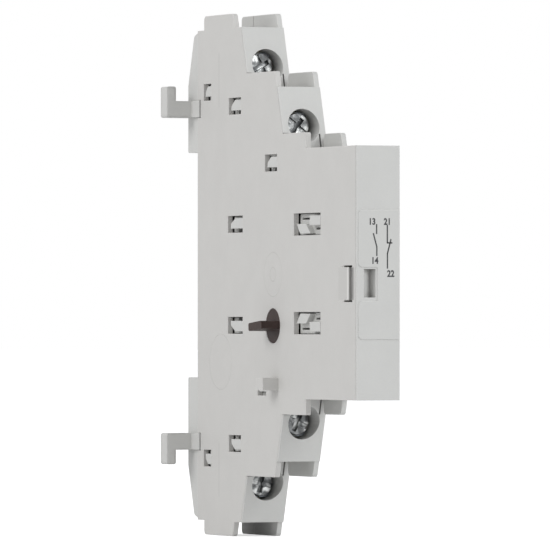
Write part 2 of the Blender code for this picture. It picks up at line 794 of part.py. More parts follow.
def snap_lugs(tools):
    """Snap lugs that stand in the windows, each on a floor that rises from the far wall."""
    made = []
    foot = INNER_FAR + FAR_WALL / 2
    root = SNAP_FLOOR + SNAP_ROOT
    for window, side in snap_windows():
        floors, stands = snap_outlines(window)
        if side == BOTTOM:
            floors = [mirrored(outline) for outline in floors]
            stands = [mirrored(outline) for outline in stands]
        made.append(extruded("snap_floor", tools, floors, SNAP_FLOOR, foot))
        made += [extruded("snap_lug", tools, [outline], SNAP_SINK, root) for outline in stands]
    return made


def snap_outlines(window):
    """Outlines of a window's floor, with its slots, and of what stands on the floor."""
    start, low, length, height = window
    front, back = start + SEAM_GAP, start + length - SEAM_GAP
    bottom, top = low + SEAM_GAP, low + height - SEAM_GAP
    if window is FRONT_WINDOW:
        floor = box_outline(depth(front), bottom, depth(back), top)
        slots = [
            box_outline(*in_window(window, near, under), *in_window(window, far, over))
            for near, under, far, over in FRONT_SLOT_SHARES
        ]
        shapes = (FRONT_BLOCK_SHARES, FRONT_LEAN_SHARES)
        return [floor, *slots], [[in_window(window, *share) for share in shares] for shares in shapes]
    corner = start + SNAP_SLOT_SHARE * length
    floor = [
        (depth(front), low + SNAP_SLOT),
        (depth(corner), low + SNAP_SLOT),
        (depth(corner), bottom),
        (depth(back), bottom),
        (depth(back), top),
        (depth(front), top),
    ]
    inner, outer = low + SNAP_SLOT + FLUSH_INSET, low + height - SNAP_BACK
    lug = [
        (depth(start + along * length), inner + up * (outer - inner))
        for along, up in SNAP_LUG_SHARES
    ]
    return [floor], [lug]


def in_window(window, along, up):
    """Point at given shares of a window's length and height."""
    start, low, length, height = window
    return depth(start + along * length), low + up * height


def carrier_channel(tools):
    """Channels on the far wall that carry the two ends of the carrier."""
    made = []
    floor = CENTRE_X + CARRIER_WIDTH / 2 + PART_GAP
    rim = CENTRE_X - CARRIER_WIDTH / 4
    foot = INNER_FAR + FAR_WALL / 2
    half = CARRIER_HEIGHT / 2 + PART_GAP
    outside = half + GUIDE_WALL
    profile = [
        (-outside, foot),
        (-outside, rim),
        (-half, rim),
        (-half, floor),
        (half, floor),
        (half, rim),
        (outside, rim),
        (outside, foot),
    ]
    for start in guide_starts():
        span = (depth(start), depth(start + GUIDE_LENGTH))
        made.append(extruded("carrier_channel", tools, [profile], *span, turn=FRONTWARD))
    return made


def shaft_boss(tools):
    base = (hub_end() + PART_GAP, depth(SHAFT_DEPTH), SHAFT_HEIGHT)
    length = INNER_FAR + FAR_WALL / 2 - base[0]
    return fine_rod("shaft_boss", tools, base, (1, 0, 0), length, HUB_RADIUS)


def shaft_bearing(tools):
    base = (hub_end(), depth(SHAFT_DEPTH), SHAFT_HEIGHT)
    radius = JOURNAL_RADIUS + DISC_CLEARANCE
    length = JOURNAL_LENGTH + PART_GAP
    return fine_rod("shaft_bearing", tools, base, (1, 0, 0), length, radius)


def hub_end():
    return INNER_FAR - JOURNAL_LENGTH


def label_field(tools):
    """Raised label field, notched round the marker pocket."""
    notch_side = POCKET_SIDE + POCKET_WIDTH + PART_GAP
    notch_top = POCKET_TOP + PART_GAP
    notch_bottom = POCKET_TOP - POCKET_HEIGHT - 2 * PART_GAP
    far_side = BODY_WIDTH - SEAM_GAP
    outline = [
        (LABEL_TOP, far_side),
        (LABEL_TOP, LABEL_SIDE, TAB_ROUND),
        (notch_top, LABEL_SIDE, TAB_ROUND),
        (notch_top, notch_side),
        (notch_bottom, notch_side),
        (notch_bottom, LABEL_SIDE, TAB_ROUND),
        (LABEL_BOTTOM, LABEL_SIDE, TAB_ROUND),
        (LABEL_BOTTOM, far_side),
    ]
    span = (depth(-LABEL_RISE), depth(LIP_DEPTH / 2))
    return extruded("label_field", tools, [rounded(outline)], *span, turn=FRONTWARD)


def marker_pocket(tools):
    """Pocket in the front with a floor that slopes down towards its far side."""
    outline = [
        (POCKET_SIDE, depth(-PART_GAP)),
        (POCKET_SIDE + POCKET_WIDTH, depth(-PART_GAP)),
        (POCKET_SIDE + POCKET_WIDTH, depth(0.0)),
        (POCKET_SIDE + POCKET_VALLEY * POCKET_WIDTH, depth(POCKET_DEPTH)),
        (POCKET_SIDE, depth(POCKET_DEPTH / 4)),
    ]
    return extruded("marker_pocket", tools, [outline], POCKET_TOP - POCKET_HEIGHT, POCKET_TOP, turn=UPWARD)


def build_switching_shaft(parts, tools):
    axis = (depth(SHAFT_DEPTH), SHAFT_HEIGHT)
    shaft = rod("switching_shaft", parts, (DISC_SINK, *axis), (1, 0, 0), PLATE_WALL + PART_GAP, DISC_RADIUS)
    flange_start = PLATE_WALL + PART_GAP
    flange = rod("flange", tools, (flange_start, *axis), (1, 0, 0), 2 * PART_GAP, DISC_RADIUS + 2 * PART_GAP)
    hub_length = hub_end() - flange_start
    hub = fine_rod("hub", tools, (flange_start, *axis), (1, 0, 0), hub_length, HUB_RADIUS)
    journal_base = (hub_end() - PART_GAP, *axis)
    journal = fine_rod("journal", tools, journal_base, (1, 0, 0), JOURNAL_LENGTH, JOURNAL_RADIUS)
    join(shaft, flange, hub, journal, blade(tools), crank_arm(tools), crank_pin(tools))
    return shaft


def blade(tools):
    half = BLADE_LENGTH / 2
    thick = BLADE_THICKNESS / 2
    outline = rounded([(*corner, EDGE_ROUND) for corner in box_outline(-half, -thick, half, thick)])
    turn = Matrix.Rotation(-BLADE_TILT, 2)
    centre = Vector((depth(SHAFT_DEPTH), SHAFT_HEIGHT))
    outline = [tuple(turn @ Vector(point) + centre) for point in outline]
    return extruded("blade", tools, [outline], -BLADE_REACH, PLATE_WALL / 2)


def crank_point():
    """Centre of the crank pin in (Y, Z) at rest."""
    y = depth(SHAFT_DEPTH) + CRANK_RADIUS * math.sin(CRANK_START)
    return y, SHAFT_HEIGHT + CRANK_RADIUS * math.cos(CRANK_START)


def crank_arm(tools):
    start = Vector((depth(SHAFT_DEPTH), SHAFT_HEIGHT))
    outline = strip_outline([tuple(start), crank_point()], CRANK_WIDTH, 0.0)
    return extruded("crank_arm", tools, [outline], *crank_span())


def crank_span():
    start = PLATE_WALL + 3 * PART_GAP
    return start, start + CRANK_THICKNESS


def crank_pin(tools):
    start = crank_span()[0]
    end = CENTRE_X + CARRIER_WIDTH / 2 - PART_GAP
    base = (start, *crank_point())
    return fine_rod("crank_pin", tools, base, (1, 0, 0), end - start, CRANK_PIN_RADIUS)


def build_carrier(parts, tools):
    """Slider with a slot for each bridge, spring pins and a fork for the crank pin."""
    half_height, half_width = CARRIER_HEIGHT / 2, CARRIER_WIDTH / 2
    low = (CENTRE_X - half_width, depth(carrier_front()), -half_height)
    high = (CENTRE_X + half_width, depth(carrier_back()), half_height)
    carrier = box("contact_carrier", parts, low, high)
    slot_half = BRIDGE_WIDTH / 2 + PART_GAP
    make_back = make_bridge_front() + BRIDGE_THICKNESS + PART_GAP
    make_start = make_bridge_front() - SPRING_LENGTH - 2 * PART_GAP
    break_start = break_bridge_front() - OVERTRAVEL - PART_GAP
    break_back = break_bridge_front() + BRIDGE_THICKNESS + SPRING_LENGTH + 2 * PART_GAP
    for start, back in ((make_start, make_back), (break_start, break_back)):
        slot_low = (CENTRE_X - slot_half, depth(start), -CARRIER_HEIGHT)
        cut(carrier, box("bridge_slot", tools, slot_low, (CENTRE_X + slot_half, depth(back), CARRIER_HEIGHT)))
    pin_y, pin_z = crank_point()
    prong_gap = CRANK_PIN_RADIUS + FORK_CLEARANCE
    for side in (-1, 1):
        ends = sorted((pin_y + side * prong_gap, pin_y + side * (prong_gap + FORK_WALL)))
        prong_low = (crank_span()[1] + PART_GAP, ends[0], pin_z - FORK_BELOW_PIN)
        prong = box("fork_prong", tools, prong_low, (CENTRE_X + half_width, ends[1], -half_height + PART_GAP))
        join(carrier, prong)
    pin_base = (CENTRE_X, depth(carrier_back() - PART_GAP), 0.0)
    pin_length = RETURN_PIN_LENGTH + PART_GAP
    radius = RETURN_RADIUS - RETURN_WIRE - PART_GAP
    join(carrier, fine_rod("spring_pin", tools, pin_base, (0, 1, 0), pin_length, radius))
    return carrier


def build_plate(level, side, parts, tools):
    name = f"{level.name}_contact_plate_{'upper' if side == TOP else 'lower'}"
    half = SHEET_WIDTH / 2
    outline = strip_outline(plate_path(level, side), SHEET)
    plate = extruded(name, parts, [outline], CENTRE_X - half, CENTRE_X + half)
    hole_base = (CENTRE_X, depth(level.seat_front - SHEET), side * level.screw_height)
    hole = fine_rod("thread", tools, hole_base, (0, 1, 0), 3 * SHEET, SCREW_RADIUS + DISC_CLEARANCE)
    cut(plate, hole)
    return plate


def contact_height():
    return CONTACT_HALF_GAP + CONTACT_REACH / 2


def build_tip(name, parts, base, direction):
    """Domed silver contact tip."""
    return fine_rod(name, parts, base, direction, TIP_HEIGHT, TIP_RADIUS, 0.75 * TIP_RADIUS)


def build_bridge(name, front, parts):
    half_width = BRIDGE_WIDTH / 2
    reach = CONTACT_HALF_GAP + CONTACT_REACH
    corner = EDGE_ROUND
    outline = [
        (-reach, CENTRE_X - half_width, corner),
        (reach, CENTRE_X - half_width, corner),
        (reach, CENTRE_X + half_width, corner),
        (-reach, CENTRE_X + half_width, corner),
    ]
    span = (depth(front), depth(front + BRIDGE_THICKNESS))
    return extruded(name, parts, [rounded(outline)], *span, turn=FRONTWARD)


def build_spring(name, parts, start, length, radius, wire, turns):
    """Helical compression spring along Y with a closed turn at each end."""
    curve = bpy.data.curves.new(name, "CURVE")
    curve.dimensions = "3D"
    curve.bevel_depth = wire
    curve.bevel_resolution = 2
    curve.use_fill_caps = True
    per_turn = 14
    steps = turns * per_turn
    spline = curve.splines.new("POLY")
    spline.points.add(steps)
    run = length - 2 * wire
    for index, point in enumerate(spline.points):
        turn = 2 * math.pi * index / per_turn
        share = (1 - math.cos(math.pi * index / steps)) / 2
        along = start + wire + run * share
        point.co = (CENTRE_X + radius * math.cos(turn), depth(along), radius * math.sin(turn), 1.0)
    shape = bpy.data.objects.new(name, curve)
    parts.objects.link(shape)
    return as_mesh(shape, parts)


def screw_meshes(parts, tools):
    """Screw and washer with the screw axis on the origin and the head's face at Y = 0."""
    screw = rod("screw_master", tools, (0, 0, 0), (0, 1, 0), HEAD_HEIGHT, 0.9 * HEAD_RADIUS, HEAD_RADIUS)
    end = INNER_LEVEL.screw_end - INNER_LEVEL.head_front
    shank_start = HEAD_HEIGHT / 2
    shank = fine_rod("shank", tools, (0, shank_start, 0), (0, 1, 0), end - shank_start, SCREW_RADIUS)
    join(screw, shank)
    arm, half = CROSS_LENGTH / 2, CROSS_WIDTH / 2
    slot = box("slot", tools, (-HEAD_RADIUS, -CROSS_DEPTH, -half), (HEAD_RADIUS, CROSS_DEPTH / 2, half))
    cross = box("cross", tools, (-half, -CROSS_DEPTH, -arm), (half, CROSS_DEPTH, arm))
    cut(screw, slot, cross)
    half_height = WASHER_HEIGHT / 2
    hole = circle(0.0, 0.0, SCREW_RADIUS + DISC_CLEARANCE, SMALL_SEGMENTS)
    corners = box_outline(-half_height, -half_height, half_height, half_height)
    plate = rounded([(*corner, EDGE_ROUND) for corner in corners])
    span = (HEAD_HEIGHT, HEAD_HEIGHT + WASHER_THICKNESS)
    washer = extruded("washer_master", tools, [plate, hole], *span, turn=FRONTWARD)
    bpy.context.view_layer.update()
    graph = bpy.context.evaluated_depsgraph_get()
    meshes = [bpy.data.meshes.new_from_object(shape.evaluated_get(graph)) for shape in (screw, washer)]
    hide_cutter(screw)
    hide_cutter(washer)
    return meshes


def build_terminals(parts, tools, colours):
    screw_mesh, washer_mesh = screw_meshes(parts, tools)
    turns = iter(SCREW_TURNS)
    for level in LEVELS:
        for side in (TOP, BOTTOM):
            turn = next(turns)
            place_name = f"{level.name}_{'upper' if side == TOP else 'lower'}"
            spot = (CENTRE_X, depth(level.head_front), side * level.screw_height)
            for kind, mesh in (("terminal_screw", screw_mesh), ("clamp_washer", washer_mesh)):
                piece = place(mesh, f"{kind}_{place_name}", parts)
                piece.location = spot
                if kind == "terminal_screw":
                    piece.rotation_euler.y = turn
                finish(piece, colours["zinc"])
            finish(build_plate(level, side, parts, tools), colours["brass"])


def build_contacts(parts, colours):
    make_front, break_front = make_bridge_front(), break_bridge_front()
    finish(build_bridge("make_bridge", make_front, parts), colours["copper"])
    finish(build_bridge("break_bridge", break_front, parts), colours["copper"])
    for side, word in ((TOP, "upper"), (BOTTOM, "lower")):
        height = side * contact_height()
        for name, start, direction in (
            (f"no_fixed_tip_{word}", INNER_LEVEL.leg_front, -1),
            (f"nc_fixed_tip_{word}", OUTER_LEVEL.leg_back, 1),
            (f"make_bridge_tip_{word}", make_front + BRIDGE_THICKNESS, 1),
            (f"break_bridge_tip_{word}", break_front, -1),
        ):
            tip = build_tip(name, parts, (CENTRE_X, depth(start), height), (0, direction, 0))
            finish(tip, colours["silver"])
    make_spring = make_front - SPRING_LENGTH - PART_GAP
    break_spring = break_front + BRIDGE_THICKNESS + PART_GAP
    for name, start in (("make_contact_spring", make_spring), ("break_contact_spring", break_spring)):
        spring = build_spring(name, parts, start, SPRING_LENGTH, SPRING_RADIUS, SPRING_WIRE, SPRING_TURNS)
        finish(spring, colours["steel"])
    start = carrier_back() + PART_GAP
    length = BACK_DEPTH - RIM_WALL - PART_GAP - start
    shape = (RETURN_RADIUS, RETURN_WIRE, RETURN_TURNS)
    spring = build_spring("carrier_return_spring", parts, start, length, *shape)
    finish(spring, colours["steel"])


def main():
    clear_scene()
    parts = new_collection("auxiliary_contact_block")
    tools = new_collection("cutters")
    colours = {
        "grey": plastic("grey_plastic", (0.58, 0.57, 0.55), 0.5),
        "brown": plastic("brown_plastic", (0.09, 0.05, 0.045), 0.45),
        "cream": plastic("cream_plastic", (0.75, 0.72, 0.62), 0.45),
        "zinc": plastic("zinc_plated_steel", (0.62, 0.66, 0.70), 0.3, 1.0),
        "brass": plastic("brass_sheet", (0.72, 0.55, 0.27), 0.35, 1.0),
        "copper": plastic("copper_alloy", (0.75, 0.45, 0.30), 0.35, 1.0),
        "silver": plastic("silver_alloy", (0.80, 0.80, 0.78), 0.3, 1.0),
        "steel": plastic("spring_steel", (0.55, 0.55, 0.56), 0.3, 1.0),
    }
    finish(build_mounting_shell(parts, tools), colours["grey"])
    finish(build_outer_shell(parts, tools), colours["grey"])
    shaft = finish(build_switching_shaft(parts, tools), colours["brown"])
    move_origin(shaft, (0.0, depth(SHAFT_DEPTH), SHAFT_HEIGHT))
    finish(build_carrier(parts, tools), colours["cream"])
    build_contacts(parts, colours)
    build_terminals(parts, tools, colours)


main()
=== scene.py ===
"""Looks of a side-mounted auxiliary contact block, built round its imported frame.

Lengths are in metres. X runs from the mounting face to the far side, -Y out of the
front and +Z up.
"""

import math

import bmesh
import bpy
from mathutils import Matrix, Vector


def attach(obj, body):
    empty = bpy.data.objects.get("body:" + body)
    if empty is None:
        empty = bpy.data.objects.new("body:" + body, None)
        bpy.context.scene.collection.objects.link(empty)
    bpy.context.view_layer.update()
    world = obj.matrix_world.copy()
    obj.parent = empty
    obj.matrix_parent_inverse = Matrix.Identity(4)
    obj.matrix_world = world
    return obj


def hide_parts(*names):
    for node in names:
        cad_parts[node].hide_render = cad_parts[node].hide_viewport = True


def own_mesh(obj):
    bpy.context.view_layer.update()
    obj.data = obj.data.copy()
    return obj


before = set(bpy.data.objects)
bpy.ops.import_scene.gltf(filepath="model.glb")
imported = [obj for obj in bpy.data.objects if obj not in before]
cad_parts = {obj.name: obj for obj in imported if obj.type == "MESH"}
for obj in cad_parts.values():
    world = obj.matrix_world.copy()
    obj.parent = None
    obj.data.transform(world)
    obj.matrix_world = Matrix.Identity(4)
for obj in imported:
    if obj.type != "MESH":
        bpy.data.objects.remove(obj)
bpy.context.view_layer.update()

MM = 0.001
MERGE_DISTANCE = 1e-6

# Camera, with its angles in degrees
LENS = 458.2
SENSOR_WIDTH = 36.0
CAMERA_PLACE = (-0.5171, -1.1709, -0.0087)
CAMERA_TILT = 90.385
CAMERA_TURN = -24.0
CLIP_START = 0.05
CLIP_END = 50.0

# Light and floor
WHITE = (1.0, 1.0, 1.0)
AMBIENT_COLOUR = (0.97, 0.98, 1.0)
AMBIENT_STRENGTH = 0.51
LAMP_SIDE = 0.8
LAMPS = (  # name, place, watts and colour
    ("left_softbox", (-1.18, -0.16, 0.72), 7.7, WHITE),
    ("front_softbox", (0.60, -1.25, 0.60), 7.8, (0.97, 0.99, 1.0)),
)
FLOOR_HEIGHT = -0.0482
FLOOR_SIZE = 8.0
FLOOR_TONE = 0.93
FLOOR_ROUGHNESS = 0.9
FLOOR_GLOW = 0.60

# Greys of the two shells, the tints of their clouds, of the painted highlight on their edges and of
# the painted shade in their crevices, and the reach of these
SIDE_GREY = (0.590, 0.580, 0.560)
FRONT_GREY = (0.600, 0.598, 0.580)
CLOUD_LIGHT = 1.012
CLOUD_DARK = 0.985
EDGE_HIGHLIGHT_TINT = 1.35
SHADE_TINT = (0.88, 0.89, 0.87)
SHADE_REACH = 1.2 * MM
SHADE_SPAN = (0.15, 0.75)
DEEP_SHADE_TINT = 0.80
DEEP_SHADE_REACH = 5.0 * MM
DEEP_SHADE_SPAN = (0.10, 0.50)

# Radii of softened edges and of the painted highlight along edges, and places along X where the
# hooks' radius ends and starts
SHELL_SOFT_EDGE = 0.22 * MM
HOOK_SOFT_EDGE = 0.75 * MM
SHAFT_SOFT_EDGE = 0.14 * MM
SHELL_EDGE_HIGHLIGHT = 0.24 * MM
FINE_EDGE_HIGHLIGHT = 0.12 * MM
HOOK_FROM = -1.5 * MM
HOOK_TO = -0.5 * MM

# Rays that shaders send out, and the bend of an edge at which its painted highlight is full and
# gone
SOFT_EDGE_SAMPLES = 6
EDGE_HIGHLIGHT_SAMPLES = 4
CREVICE_SHADE_SAMPLES = 8
SHARP_BEND = 0.80
SLIGHT_BEND = 0.995

# Rings that the mould leaves on the mounting face, with painted shade along them: place, radius,
# half width and tone of that shade
RING_DEPTH = 0.05 * MM
GATE = (-0.0085, 0.0)
EJECTOR = (0.0152, -0.0160)
MOULD_RINGS = (
    (GATE, 4.0 * MM, 0.16 * MM, 0.45),
    (GATE, 1.25 * MM, 0.18 * MM, 0.70),
    (EJECTOR, 5.1 * MM, 0.14 * MM, 0.35),
)

# Painted shade on the latch finger, painted highlight on its tip and painted shade in its scoop,
# then painted shade in creases: place, half size, softness, tint and amount
PAINTED_LIGHT_BANDS = (
    ((-0.0389, -0.0019), (1.75 * MM, 2.9 * MM), (0.15 * MM, 0.10 * MM), 0.93, 0.90),
    ((-0.0408, -0.0019), (0.20 * MM, 2.8 * MM), (0.12 * MM, 0.15 * MM), 1.25, 0.90),
    ((-0.0426, -0.0019), (1.10 * MM, 2.9 * MM), (0.55 * MM, 0.15 * MM), 0.30, 0.90),
    ((0.0160, 0.0360), (0.16 * MM, 5.0 * MM), (0.10 * MM, 0.30 * MM), 0.80, 0.60),
    ((0.0160, -0.0360), (0.16 * MM, 5.0 * MM), (0.10 * MM, 0.30 * MM), 0.80, 0.60),
)

# Metals: dark tone, light tone, roughness, and stretch of the grain where it is rolled
METAL_GRAIN = 2200.0
ROLLED = (1.0, 1.0, 0.12)
METALS = {
    "zinc_plated_steel": ((0.34, 0.37, 0.41), (0.55, 0.58, 0.61), 0.30, None),
    "brass_sheet": ((0.62, 0.46, 0.20), (0.80, 0.63, 0.33), 0.34, ROLLED),
    "copper_alloy": ((0.62, 0.36, 0.22), (0.82, 0.52, 0.36), 0.34, ROLLED),
    "silver_alloy": ((0.70, 0.70, 0.68), (0.88, 0.88, 0.86), 0.28, None),
    "spring_steel": ((0.42, 0.42, 0.43), (0.62, 0.62, 0.63), 0.30, None),
}

# Edges of the CAD nodes, with their angles in degrees
SHARP_ANGLE = 32
FLAT_ANGLE = 0.5
BEVEL_SEGMENTS = 2
FLATTEN_WEIGHT = 100

# Printed marks: place of the label's face along Y, sizes of the marks and shape of the font
LABEL_FACE = -0.04512
MARK_SINK = 0.05 * MM
MARK_PROUD = 0.01 * MM
LINE_WIDTH = 0.25 * MM
DIGIT_HEIGHT = 1.22 * MM
DIGIT_NARROWING = 0.88
DIGIT_WEIGHT = 0.036
DIGIT_EXTRUSION = 0.01
DIGIT_RESOLUTION = 4

# Centres of the numbers and ends of the lines, as X and Z in millimetres
NUMBERS = {"13": (3.05, 9.12), "21": (5.83, 9.12), "14": (3.60, 2.20), "22": (6.60, -0.10)}
MAKE_SYMBOL = (
    ((3.84, 8.66), (3.84, 6.89)),
    ((3.19, 7.04), (3.88, 4.61)),
    ((3.88, 4.70), (3.88, 3.00)),
)
BREAK_SYMBOL = (
    ((5.93, 8.50), (5.93, 5.34)),
    ((5.84, 5.34), (6.92, 5.34)),
    ((6.65, 6.02), (5.95, 3.43)),
    ((5.95, 3.52), (5.95, 0.77)),
)


def link_object(name, data):
    piece = bpy.data.objects.new(name, data)
    bpy.context.scene.collection.objects.link(piece)
    return piece


def mesh_from(name, work):
    """Mesh with the contents of a bmesh, which is freed."""
    mesh = bpy.data.meshes.new(name)
    work.to_mesh(mesh)
    work.free()
    return mesh


def add_node(tree, kind, values=None, sources=None, **settings):
    """New node with its settings, the values of its inputs and what feeds them."""
    node = tree.nodes.new(kind)
    for name, value in settings.items():
        setattr(node, name, value)
    for socket, value in (values or {}).items():
        node.inputs[socket].default_value = value
    for socket, source in (sources or {}).items():
        tree.links.new(source, node.inputs[socket])
    return node


# Camera, light and floor

def build_camera():
    data = bpy.data.cameras.new("camera")
    data.lens = LENS
    data.sensor_width = SENSOR_WIDTH
    data.clip_start = CLIP_START
    data.clip_end = CLIP_END
    camera = link_object("camera", data)
    camera.location = CAMERA_PLACE
    camera.rotation_euler = (math.radians(CAMERA_TILT), 0.0, math.radians(CAMERA_TURN))
    bpy.context.scene.camera = camera
    bpy.context.scene.view_settings.view_transform = "Standard"


def build_world():
    """Even light on the object, with white where the camera, gloss or glass looks."""
    world = bpy.data.worlds.new("studio")
    world.use_nodes = True
    bpy.context.scene.world = world
    tree = world.node_tree
    tree.nodes.clear()
    rays = add_node(tree, "ShaderNodeLightPath").outputs
    seen = rays["Is Camera Ray"]
    for kind in ("Is Glossy Ray", "Is Transmission Ray"):
        either = {0: seen, 1: rays[kind]}
        seen = add_node(tree, "ShaderNodeMath", sources=either, operation="MAXIMUM").outputs[0]
    ambient = add_node(tree, "ShaderNodeBackground", {
        "Color": (*AMBIENT_COLOUR, 1.0), "Strength": AMBIENT_STRENGTH})
    white = add_node(tree, "ShaderNodeBackground", {"Color": (*WHITE, 1.0), "Strength": 1.0})
    mix = add_node(tree, "ShaderNodeMixShader", sources={
        0: seen, 1: ambient.outputs[0], 2: white.outputs[0]})
    add_node(tree, "ShaderNodeOutputWorld", sources={0: mix.outputs[0]})


def build_lights():
    for name, place, watts, colour in LAMPS:
        data = bpy.data.lights.new(name, "AREA")
        data.shape = "SQUARE"
        data.size = LAMP_SIDE
        data.energy = watts
        data.color = colour
        lamp = link_object(name, data)
        lamp.location = place
        lamp.rotation_euler = (-Vector(place)).to_track_quat("-Z", "Y").to_euler()


def build_floor():
    """White floor that keeps the object's shadow and glows for the camera alone."""
    work = bmesh.new()
    bmesh.ops.create_grid(work, x_segments=1, y_segments=1, size=FLOOR_SIZE)
    floor = link_object("floor", mesh_from("floor", work))
    floor.location = (0.0, 0.0, FLOOR_HEIGHT)
    material = bpy.data.materials.new("floor_white")
    material.use_nodes = True
    tree = material.node_tree
    shader = tree.nodes["Principled BSDF"]
    shader.inputs["Base Color"].default_value = (FLOOR_TONE, FLOOR_TONE, FLOOR_TONE, 1.0)
    shader.inputs["Roughness"].default_value = FLOOR_ROUGHNESS
    shader.inputs["Specular IOR Level"].default_value = 0.0
    rays = add_node(tree, "ShaderNodeLightPath").outputs
    glow = add_node(tree, "ShaderNodeEmission", {"Strength": FLOOR_GLOW})
    choose = add_node(tree, "ShaderNodeMixShader", sources={
        0: rays["Is Camera Ray"], 2: glow.outputs[0]})
    add = add_node(tree, "ShaderNodeAddShader", sources={
        0: shader.outputs[0], 1: choose.outputs[0]})
    tree.links.new(add.outputs[0], tree.nodes["Material Output"].inputs["Surface"])
    floor.data.materials.append(material)


# Materials

def even(tone):
    return (tone, tone, tone)


def tinted(colour, tint):
    return tuple(min(1.0, part * tint) for part in colour)


class Paint:
    """A Principled material with helpers for its noise, bump and colour nodes."""

    def __init__(self, name, metallic=0.0, specular=0.5):
        self.material = bpy.data.materials.new(name)
        self.material.use_nodes = True
        self.tree = self.material.node_tree
        self.shader = self.tree.nodes["Principled BSDF"]
        self.shader.inputs["Metallic"].default_value = metallic
        self.shader.inputs["Specular IOR Level"].default_value = specular
        self.coordinates = self.add("ShaderNodeTexCoord").outputs["Object"]
        self.normal = None

    def add(self, kind, values=None, sources=None, **settings):
        return add_node(self.tree, kind, values, sources, **settings)

    def math(self, operation, sources, values=None):
        return self.add("ShaderNodeMath", values, sources, operation=operation).outputs[0]

    def vector(self, operation, sources, values=None):
        return self.add("ShaderNodeVectorMath", values, sources, operation=operation)

    def shape(self, normal):
        """Take a normal for the surface, on which the next bump is laid."""
        self.normal = normal
        self.tree.links.new(normal, self.shader.inputs["Normal"])

    def soft_edges(self, radius, hook_radius=None):
        """Round the look of every edge, and more so on the hooks outside the mounting face."""
        node = self.add("ShaderNodeBevel", {"Radius": radius}, samples=SOFT_EDGE_SAMPLES)
        if hook_radius:
            split = self.add("ShaderNodeSeparateXYZ", sources={0: self.coordinates})
            reach = self.add("ShaderNodeMapRange", {
                "From Min": HOOK_FROM, "From Max": HOOK_TO, "To Min": hook_radius, "To Max": radius,
            }, {"Value": split.outputs["X"]})
            self.tree.links.new(reach.outputs["Result"], node.inputs["Radius"])
        self.shape(node.outputs["Normal"])

    def away(self, place):
        """Vector to each point of the mounting face from a place given as depth and height."""
        return self.vector("SUBTRACT", {0: self.coordinates}, {1: (0.0, *place)}).outputs[0]

    def falling(self, value, start, end):
        """Mask that falls softly from one at the start to nought at the end."""
        return self.add("ShaderNodeMapRange", {
            "From Min": start, "From Max": end, "To Min": 1.0, "To Max": 0.0,
        }, {"Value": value}, interpolation_type="SMOOTHSTEP").outputs["Result"]

    def ring(self, place, radius, width):
        """Mask that is one on a fine ring of the mounting face."""
        flat = self.vector("MULTIPLY", {0: self.away(place)}, {1: (0.0, 1.0, 1.0)})
        distance = self.vector("LENGTH", {0: flat.outputs[0]}).outputs["Value"]
        off = self.math("SUBTRACT", {0: distance}, {1: radius})
        return self.falling(self.math("ABSOLUTE", {0: off}), 0.0, width)

    def band(self, place, half, soft):
        """Mask that is one inside a soft-edged rectangle on the mounting face."""
        away = self.vector("ABSOLUTE", {0: self.away(place)})
        split = self.add("ShaderNodeSeparateXYZ", sources={0: away.outputs[0]})
        masks = [
            self.falling(split.outputs[axis], reach - blur, reach + blur)
            for axis, reach, blur in zip("YZ", half, soft)
        ]
        return self.math("MULTIPLY", dict(enumerate(masks)))

    def noise(self, scale, detail=4.0, rough=0.6, stretch=None):
        source = self.coordinates
        if stretch:
            turn = self.add("ShaderNodeMapping", {"Scale": stretch}, {"Vector": source})
            source = turn.outputs["Vector"]
        values = {"Scale": scale, "Detail": detail, "Roughness": rough}
        return self.add("ShaderNodeTexNoise", values, {"Vector": source}).outputs["Fac"]

    def ramp(self, value, *stops):
        node = self.add("ShaderNodeValToRGB", sources={"Fac": value})
        elements = node.color_ramp.elements
        while len(elements) < len(stops):
            elements.new(0.5)
        for element, (place, colour) in zip(elements, stops):
            element.position = place
            element.color = (*colour, 1.0)
        return node.outputs["Color"]

    def faint(self, mask, amount):
        """The mask, no stronger than the amount."""
        return self.ramp(mask, (0.0, even(0.0)), (1.0, even(amount)))

    def mix(self, factor, first, second, blend="MIX"):
        node = self.add("ShaderNodeMix", data_type="RGBA", blend_type=blend)
        for place, value in ((0, factor), (6, first), (7, second)):
            socket = node.inputs[place]
            if isinstance(value, float):
                socket.default_value = value
            elif isinstance(value, tuple):
                socket.default_value = (*value, 1.0)
            else:
                self.tree.links.new(value, socket)
        return node.outputs[2]

    def colour(self, output):
        self.tree.links.new(output, self.shader.inputs["Base Color"])

    def roughness(self, value, low, high):
        node = self.add("ShaderNodeMapRange", {"To Min": low, "To Max": high}, {"Value": value})
        self.tree.links.new(node.outputs["Result"], self.shader.inputs["Roughness"])

    def bump(self, value, depth, strength):
        sources = {"Height": value}
        if self.normal is not None:
            sources["Normal"] = self.normal
        node = self.add("ShaderNodeBump", {"Distance": depth, "Strength": strength}, sources)
        self.shape(node.outputs["Normal"])

    def painted_edge_highlight(self, base, tone, amount, radius=FINE_EDGE_HIGHLIGHT):
        """Painted highlight along the edges."""
        softened = self.add("ShaderNodeBevel", {"Radius": radius}, samples=EDGE_HIGHLIGHT_SAMPLES)
        true = self.add("ShaderNodeNewGeometry").outputs["Normal"]
        same = self.vector("DOT_PRODUCT", {0: softened.outputs["Normal"], 1: true})
        stops = (SHARP_BEND, even(amount)), (SLIGHT_BEND, even(0.0))
        mask = self.ramp(same.outputs["Value"], *stops)
        return self.mix(mask, base, tone)

    def crevice_shade(self, base, tone, reach, span=SHADE_SPAN):
        """Painted shade where the piece closes in on itself."""
        node = self.add("ShaderNodeAmbientOcclusion", {
            "Distance": reach}, only_local=True, samples=CREVICE_SHADE_SAMPLES)
        mask = self.ramp(node.outputs["AO"], (span[0], even(1.0)), (span[1], even(0.0)))
        return self.mix(mask, base, tone)


